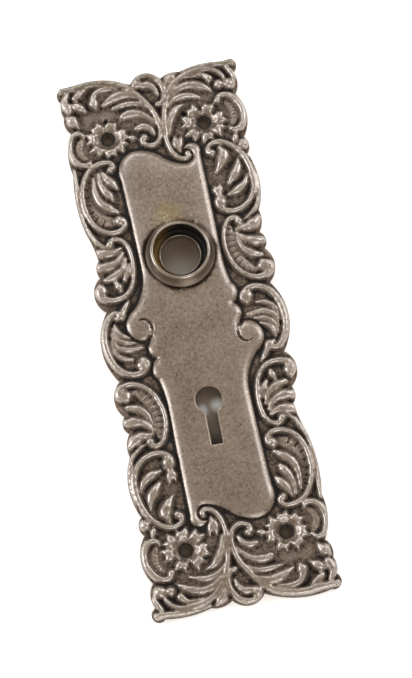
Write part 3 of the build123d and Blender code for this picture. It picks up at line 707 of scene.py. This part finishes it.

# Mild steel, pressed, once plated and now worn: a warm grey satin that shows white where it is
# rubbed and where a highlight is painted on the high points, brown and dull where dirt has
# stayed and where shade is painted in the hollows, with small black pits of rust.
steel = bpy.data.materials.new("worn_pressed_steel")
steel.use_nodes = True
tree = steel.node_tree
shader = tree.nodes["Principled BSDF"]
place = add(tree, "ShaderNodeTexCoord").outputs["Object"]
dirt_and_shade = add(tree, "ShaderNodeAttribute", attribute_name="dirt_and_shade").outputs["Fac"]
proud_of = add(tree, "ShaderNodeAttribute", attribute_name="proud").outputs["Fac"]
cloud_size, grain_size = 0.012, 0.0009
cloud, grain = (
    add(tree, "ShaderNodeTexNoise", {"Vector": place, "Scale": 1 / size, "Detail": detail}).outputs[0]
    for size, detail in ((cloud_size, 6.0), (grain_size, 4.0))
)
# dirt lies in the ground and in the hollows of the relief, with painted shade in the hollows, along
# the panel and on the edges, darkest at the panel's left
patchy = add(tree, "ShaderNodeMath", {0: grain, 1: 0.9, 2: dirt_and_shade}, **scaled_sum).outputs[0]
dirt_and_shade_cover = add(tree, "ShaderNodeMapRange", {0: patchy, 1: 0.6, 2: 1.35}, **eased).outputs[0]
mottle = add(tree, "ShaderNodeMath", {0: cloud, 1: 0.5, 2: grain}, **scaled_sum).outputs[0]
mottle = add(tree, "ShaderNodeMapRange", {0: mottle, 1: 0.52, 2: 0.98}).outputs[0]
metal = add(tree, "ShaderNodeMix", {0: mottle, 6: linear("7a7066"), 7: linear("a69b8f")}, **rgba).outputs[2]
flecks = add(tree, "ShaderNodeMapRange", {0: grain, 1: 0.32, 2: 0.68}).outputs[0]
soil_and_shade = add(tree, "ShaderNodeMix", {0: flecks, 6: linear("1c140e"), 7: linear("7c6b5a")}, **rgba).outputs[2]
black = add(tree, "ShaderNodeMapRange", {0: dirt_and_shade, 1: 1.0, 2: 1.65}, **eased).outputs[0]
soil_and_shade = add(tree, "ShaderNodeMix", {0: black, 6: soil_and_shade, 7: linear("110c08")}, **rgba).outputs[2]
body = add(tree, "ShaderNodeMix", {0: dirt_and_shade_cover, 6: metal, 7: soil_and_shade}, **rgba).outputs[2]
# wear and painted highlight: the high points are lighter and more neutral
rubbed_and_highlight = add(tree, "ShaderNodeMapRange", {0: proud_of, 1: 0.04, 2: 0.5, 4: 0.8}, **eased).outputs[0]
colour = add(tree, "ShaderNodeMix", {0: rubbed_and_highlight, 6: body, 7: linear("b6b0a8")}, **rgba).outputs[2]
# painted shade: the upper end is darker, a greenish grey
upper = add(tree, "ShaderNodeSeparateXYZ", {0: place}).outputs[1]
upper = add(tree, "ShaderNodeMath", {0: cloud, 1: 0.006, 2: upper}, **scaled_sum).outputs[0]
upper = add(tree, "ShaderNodeMapRange", {0: upper, 1: 0.094, 2: 0.0985, 4: 0.65}, **eased).outputs[0]
colour = add(tree, "ShaderNodeMix", {0: upper, 6: colour, 7: linear("6a6453")}, **rgba).outputs[2]
# a ring of old dirt and painted shadow round the collar's foot
seat = (0, collar_y * 0.001, panel_height * 0.001)
away = add(tree, "ShaderNodeVectorMath", {0: place, 1: seat}, **apart).outputs["Value"]
away = add(tree, "ShaderNodeMath", {0: grain, 1: 0.0012, 2: away}, **scaled_sum).outputs[0]
away = add(tree, "ShaderNodeMath", {0: cloud, 1: -0.004, 2: away}, **scaled_sum).outputs[0]
foot_dirt_and_shadow = add(tree, "ShaderNodeMapRange", {0: away, 1: 0.0106, 2: 0.0122}, **eased).outputs[0]
colour = add(tree, "ShaderNodeMix", {0: foot_dirt_and_shadow, 6: linear("2a1f17"), 7: colour}, **rgba).outputs[2]
# a yellow stain over the collar
stain_spot = (-0.001, 0.043, panel_height * 0.001)
away = add(tree, "ShaderNodeVectorMath", {0: place, 1: stain_spot}, **apart).outputs["Value"]
away = add(tree, "ShaderNodeMath", {0: cloud, 1: -0.012, 2: away}, **scaled_sum).outputs[0]
stain = add(tree, "ShaderNodeMapRange", {0: away, 1: -0.006, 2: 0.002, 3: 0.5, 4: 0}, **eased).outputs[0]
colour = add(tree, "ShaderNodeMix", {0: stain, 6: colour, 7: linear("a08f5c")}, **rgba).outputs[2]
# and light scrapes in two spots beside it
for x, y in ((-3.1, 41.4), (7.5, 39.4)):
    spot = (x * 0.001, y * 0.001, panel_height * 0.001)
    away = add(tree, "ShaderNodeVectorMath", {0: place, 1: spot}, **apart).outputs["Value"]
    away = add(tree, "ShaderNodeMath", {0: grain, 1: -0.012, 2: away}, **scaled_sum).outputs[0]
    scrape = add(tree, "ShaderNodeMapRange", {0: away, 1: -0.0062, 2: -0.0052, 3: 0.5, 4: 0}).outputs[0]
    colour = add(tree, "ShaderNodeMix", {0: scrape, 6: colour, 7: linear("cdc2a4")}, **rgba).outputs[2]
# rust pits up to 0.5 mm across in about half of the cells of a 3 mm pattern, and finer specks up to
# 0.25 mm across: the pattern's size, how much its cells differ, a pit's middle and its edge, and how
# much of the metal still shows in it
for size, spread, middle, rim_of_pit, shows in (
    (0.003, -0.155, -0.1, -0.06, 0.0), (0.0013, -0.25, -0.13, -0.04, 0.5),
):
    pattern = {"Vector": place, "Scale": 1 / size}
    cells = add(tree, "ShaderNodeTexVoronoi", pattern, voronoi_dimensions="2D").outputs
    lot = add(tree, "ShaderNodeSeparateColor", {0: cells["Color"]}).outputs[0]
    pit = add(
        tree, "ShaderNodeMath", {0: lot, 1: spread, 2: cells["Distance"]}, **scaled_sum
    ).outputs[0]
    pit = add(tree, "ShaderNodeMapRange", {0: pit, 1: middle, 2: rim_of_pit, 3: shows}).outputs[0]
    colour = add(tree, "ShaderNodeMix", {0: pit, 6: linear("2a221c"), 7: colour}, **rgba).outputs[2]
# the cut edges and the back have only the dirt and the painted shade
wall = add(tree, "ShaderNodeAttribute", attribute_name="wall").outputs["Fac"]
colour = add(tree, "ShaderNodeMix", {0: wall, 6: colour, 7: body}, **rgba).outputs[2]
tree.links.new(colour, shader.inputs["Base Color"])
dull = add(tree, "ShaderNodeMath", {0: dirt_and_shade_cover, 1: black}, operation="ADD").outputs[0]
for name, clean, dirtiest in (("Metallic", 0.95, 0), ("Roughness", 0.39, 0.9)):
    finish = add(tree, "ShaderNodeMapRange", {0: dull, 2: 2.0, 3: clean, 4: dirtiest}).outputs[0]
    tree.links.new(finish, shader.inputs[name])
relief = add(tree, "ShaderNodeMapRange", {0: dirt_and_shade_cover, 3: 0.12, 4: 0.8}).outputs[0]
bump = add(tree, "ShaderNodeBump", {"Height": grain, "Strength": relief, "Distance": 0.0004}).outputs[0]
tree.links.new(bump, shader.inputs["Normal"])
plate_mesh.materials.append(steel)
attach(door_plate, "root")
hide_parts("door_plate")

# Knob collar: a cup drawn from brass sheet and nickel plated, its foot flared on the panel and its
# spigot pressed through. The plating has gone dull, and the bore is brown and black with grease.
path_radius, facets = 9.6, 160
# its section, as radius and height
section = [
    (12.1, 4.0), (12.08, 4.35), (11.85, 4.65), (11.3, 5.4), (10.85, 6.4), (10.55, 7.4),
    (10.42, 8.1), (10.25, 8.5), (9.98, 8.74), (9.7, 8.8), (9.42, 8.72), (9.24, 8.5), (9.15, 8.1),
    (9.15, 6.4), (9.15, 4.6), (9.1, 3.0), (8.9, 2.55), (8.5, 2.35), (7.6, 2.3), (7.4, 2.4),
    (7.25, 2.65), (7.05, 2.72), (6.9, 2.6), (6.85, 2.3), (6.85, 1.7), (7.0, 1.52), (7.4, 1.5),
    (9.7, 1.5), (9.95, 1.58), (10.05, 1.85), (10.05, 4.0),
]
turned = bpy.data.node_groups.new("turned_collar", "GeometryNodeTree")
sockets = {
    name: turned.interface.new_socket(name, in_out=way, socket_type=f"NodeSocket{kind}")
    for name, way, kind in (
        ("Section", "INPUT", "Geometry"), ("Path radius", "INPUT", "Float"),
        ("Facets", "INPUT", "Int"), ("Place", "INPUT", "Vector"),
        ("Finish", "INPUT", "Material"), ("Collar", "OUTPUT", "Geometry"),
    )
}
given = add(turned, "NodeGroupInput").outputs
path = {"Radius": given["Path radius"], "Resolution": given["Facets"]}
circle = add(turned, "GeometryNodeCurvePrimitiveCircle", path).outputs[0]
sweep = {"Curve": circle, "Profile Curve": given["Section"]}
swept = add(turned, "GeometryNodeCurveToMesh", sweep).outputs[0]
move = {"Geometry": swept, "Translation": given["Place"]}
moved = add(turned, "GeometryNodeTransform", move).outputs[0]
whole = add(turned, "GeometryNodeRealizeInstances", {0: moved}).outputs[0]
plated = {"Geometry": whole, "Material": given["Finish"]}
finished = add(turned, "GeometryNodeSetMaterial", plated)
add(turned, "NodeGroupOutput", {"Collar": finished.outputs[0]})

nickel = bpy.data.materials.new("dull_nickel_plate")
section_curve = bpy.data.curves.new("collar_section", "CURVE")
section_curve.dimensions = "3D"
spline = section_curve.splines.new("POLY")
spline.points.add(len(section) - 1)
for point, (r, z) in zip(spline.points, section):
    point.co = ((r - path_radius) * 0.001, -z * 0.001, 0, 1)
spline.use_cyclic_u = True
lathe = bpy.data.objects.new("collar_lathe", section_curve)
bpy.context.scene.collection.objects.link(lathe)
turning = lathe.modifiers.new("turning", "NODES")
turning.node_group = turned
for name, value in (
    ("Path radius", path_radius * 0.001), ("Facets", facets),
    ("Place", (0, collar_y * 0.001, 0)), ("Finish", nickel),
):
    turning[sockets[name].identifier] = value
evaluated = lathe.evaluated_get(bpy.context.evaluated_depsgraph_get())
collar_mesh = bpy.data.meshes.new_from_object(evaluated)
bpy.data.objects.remove(lathe)
# soot in the bore and on its floor, out to the rim and in to the lip, and grime with a painted shadow
# under the foot
soot_out, soot_top, soot_in, grime_and_shadow_in, grime_and_shadow_top, fade = 9.75, 8.85, 7.3, 10, 4.3, 0.3
at = np.array([v.co for v in collar_mesh.vertices]) * 1000 - (0, collar_y, 0)
from_axis, height = np.hypot(at[:, 0], at[:, 1]), at[:, 2]
soot = np.clip((soot_out - from_axis) / fade, 0, 1) * np.clip((soot_top - height) / fade, 0, 1)
soot *= np.clip((from_axis - soot_in) / fade, 0, 1)
keep_values(collar_mesh, "sooty", soot)
grime_and_shadow_mask = np.clip((grime_and_shadow_top - height) / fade, 0, 1) * (from_axis > grime_and_shadow_in)
keep_values(collar_mesh, "grime_and_shadow", grime_and_shadow_mask)
turn_outwards(collar_mesh)
collar_mesh.shade_smooth()
collar = bpy.data.objects.new("turned_knob_collar", collar_mesh)
bpy.context.scene.collection.objects.link(collar)

# Nickel plate on drawn brass: a smooth grey metal gone dull and cloudy, and brown to black in the
# bore, where grease has stayed; dark at the foot with grime and a painted shadow.
nickel.use_nodes = True
tree = nickel.node_tree
shader = tree.nodes["Principled BSDF"]
place = add(tree, "ShaderNodeTexCoord").outputs["Object"]
sooty = add(tree, "ShaderNodeAttribute", attribute_name="sooty").outputs["Fac"]
grime_and_shadow = add(tree, "ShaderNodeAttribute", attribute_name="grime_and_shadow").outputs["Fac"]
tarnish_size = 0.004
tarnish = {"Vector": place, "Scale": 1 / tarnish_size, "Detail": 5.0}
cloud = add(tree, "ShaderNodeTexNoise", tarnish).outputs[0]
plating = add(tree, "ShaderNodeMix", {0: cloud, 6: linear("8d8579"), 7: linear("b4ab9f")}, **rgba).outputs[2]
across = add(tree, "ShaderNodeSeparateXYZ", {0: place}).outputs[0]
across = add(tree, "ShaderNodeMath", {0: cloud, 1: -0.012, 2: across}, **scaled_sum).outputs[0]
left = add(tree, "ShaderNodeMapRange", {0: across, 1: -0.016, 2: -0.006, 3: 1, 4: 0}).outputs[0]
grease = add(tree, "ShaderNodeMix", {0: left, 6: linear("16110d"), 7: linear("6b5124")}, **rgba).outputs[2]
colour = add(tree, "ShaderNodeMix", {0: sooty, 6: plating, 7: grease}, **rgba).outputs[2]
# grime and painted shadow at the foot
colour = add(tree, "ShaderNodeMix", {0: grime_and_shadow, 6: colour, 7: linear("241b15")}, **rgba).outputs[2]
tree.links.new(colour, shader.inputs["Base Color"])
dull = add(tree, "ShaderNodeMath", {0: sooty, 1: grime_and_shadow}, operation="MAXIMUM").outputs[0]
for name, clean, dirtiest in (("Metallic", 0.95, 0.5), ("Roughness", 0.28, 0.6)):
    finish = add(tree, "ShaderNodeMapRange", {0: dull, 3: clean, 4: dirtiest}).outputs[0]
    tree.links.new(finish, shader.inputs[name])
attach(collar, "root")
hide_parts("knob_collar")

# Studio: a white table top under the plate, a brown card of painted shade under the plate that
# shows through its holes, and white boards all round with a darker ceiling, so that flat metal
# looks grey and every rounded edge catches a board.
half_floor, floor_height = 2.0, -0.00005
half_card_width, half_card_length = 0.024, 0.088


def lay_flat(name, half_width, half_length, height, material):
    """A flat sheet with its middle at the origin."""
    ends = ((-1, -1), (1, -1), (1, 1), (-1, 1))
    mesh = bpy.data.meshes.new(name)
    mesh.from_pydata(
        [(x * half_width, y * half_length, height) for x, y in ends], [], [(0, 1, 2, 3)]
    )
    mesh.materials.append(material)
    flat = bpy.data.objects.new(name, mesh)
    bpy.context.scene.collection.objects.link(flat)
    return flat


# White paper, matt, with a little light of its own, so that it burns out to white.
white = bpy.data.materials.new("white_paper")
white.use_nodes = True
for name, value in (
    ("Base Color", linear("f4f3f1")), ("Roughness", 0.9),
    ("Emission Color", linear("ffffff")), ("Emission Strength", 0.42),
):
    white.node_tree.nodes["Principled BSDF"].inputs[name].default_value = value
table_top = lay_flat("table_top", half_floor, half_floor, floor_height, white)

# Brown card, matt, standing in for the shade under the plate: painted light where the bore and the
# keyhole let light in, painted shade under the ends and below the keyhole's foot.
brown = bpy.data.materials.new("painted_shade_card")
brown.use_nodes = True
tree = brown.node_tree
shader = tree.nodes["Principled BSDF"]
shader.inputs["Roughness"].default_value = 0.9
place = add(tree, "ShaderNodeTexCoord").outputs["Object"]
along = add(tree, "ShaderNodeSeparateXYZ", {0: place}).outputs[1]
along = add(tree, "ShaderNodeMath", {0: along}, operation="ABSOLUTE").outputs[0]
ends = add(tree, "ShaderNodeMapRange", {0: along, 1: 0.055, 2: 0.066}).outputs[0]
colour = add(
    tree, "ShaderNodeMix", {0: ends, 6: linear("72665a"), 7: linear("4e453b")}, **rgba
).outputs[2]
# painted light under the bore and the keyhole, and painted shade below the keyhole's foot
for x, y, reach, tint in (
    (0, 20, 11, "9a988f"), (-3.2, -27.5, 3.4, "c4c8c6"), (3.0, -26.5, 3.8, "d4d9d8"),
    (0, -41, 6, "3d3b36"),
):
    spot = (x * 0.001, y * 0.001, 0)
    away = add(tree, "ShaderNodeVectorMath", {0: place, 1: spot}, **apart).outputs["Value"]
    near = add(
        tree, "ShaderNodeMapRange", {0: away, 1: 0, 2: reach * 0.001, 3: 1, 4: 0}, **eased
    ).outputs[0]
    colour = add(tree, "ShaderNodeMix", {0: near, 6: colour, 7: linear(tint)}, **rgba).outputs[2]
tree.links.new(colour, shader.inputs["Base Color"])
card = lay_flat("painted_shade_card", half_card_width, half_card_length, floor_height / 2, brown)

# the room's dim warm light, and the boards: where each stands, and its power
world = bpy.data.worlds.new("studio")
bpy.context.scene.world = world
world.use_nodes = True
world.node_tree.nodes["Background"].inputs["Color"].default_value = linear("ffead4")
world.node_tree.nodes["Background"].inputs["Strength"].default_value = 0.555
aim, board_size = Vector((0, 0, 0)), 0.45
for name, spot, power in (
    ("left_board", (-0.82, 0.15, 0.4), 4.9),
    ("right_board", (0.62, 0.28, 0.56), 3.3),
    ("front_board", (0.1, -0.8, 0.5), 2.7),
    ("back_board", (-0.15, 0.7, 0.65), 2.4),
):
    light = bpy.data.lights.new(name, "AREA")
    light.size, light.energy, light.color = board_size, power, linear("f0f5ff")[:3]
    lamp = bpy.data.objects.new(name, light)
    lamp.location = spot
    lamp.rotation_euler = (aim - Vector(spot)).to_track_quat("-Z", "Y").to_euler()
    bpy.context.scene.collection.objects.link(lamp)

# Camera, at the photograph's place: nearly overhead, with the frame 412 by 678
focal_pixels, frame_height = 2296, 678
camera_data = bpy.data.cameras.new("camera")
camera_data.sensor_fit = "VERTICAL"
camera_data.lens = focal_pixels * camera_data.sensor_height / frame_height
camera_data.clip_start = 0.01
camera = bpy.data.objects.new("camera", camera_data)
camera.location = (-0.034897, -0.203206, 0.760768)
looked_at = Vector((0.003195, -0.002950, 0))
camera.rotation_euler = (looked_at - camera.location).to_track_quat("-Z", "Y").to_euler()
bpy.context.scene.collection.objects.link(camera)
bpy.context.scene.camera = camera
bpy.context.scene.view_settings.view_transform = "Standard"

bpy.context.view_layer.update()
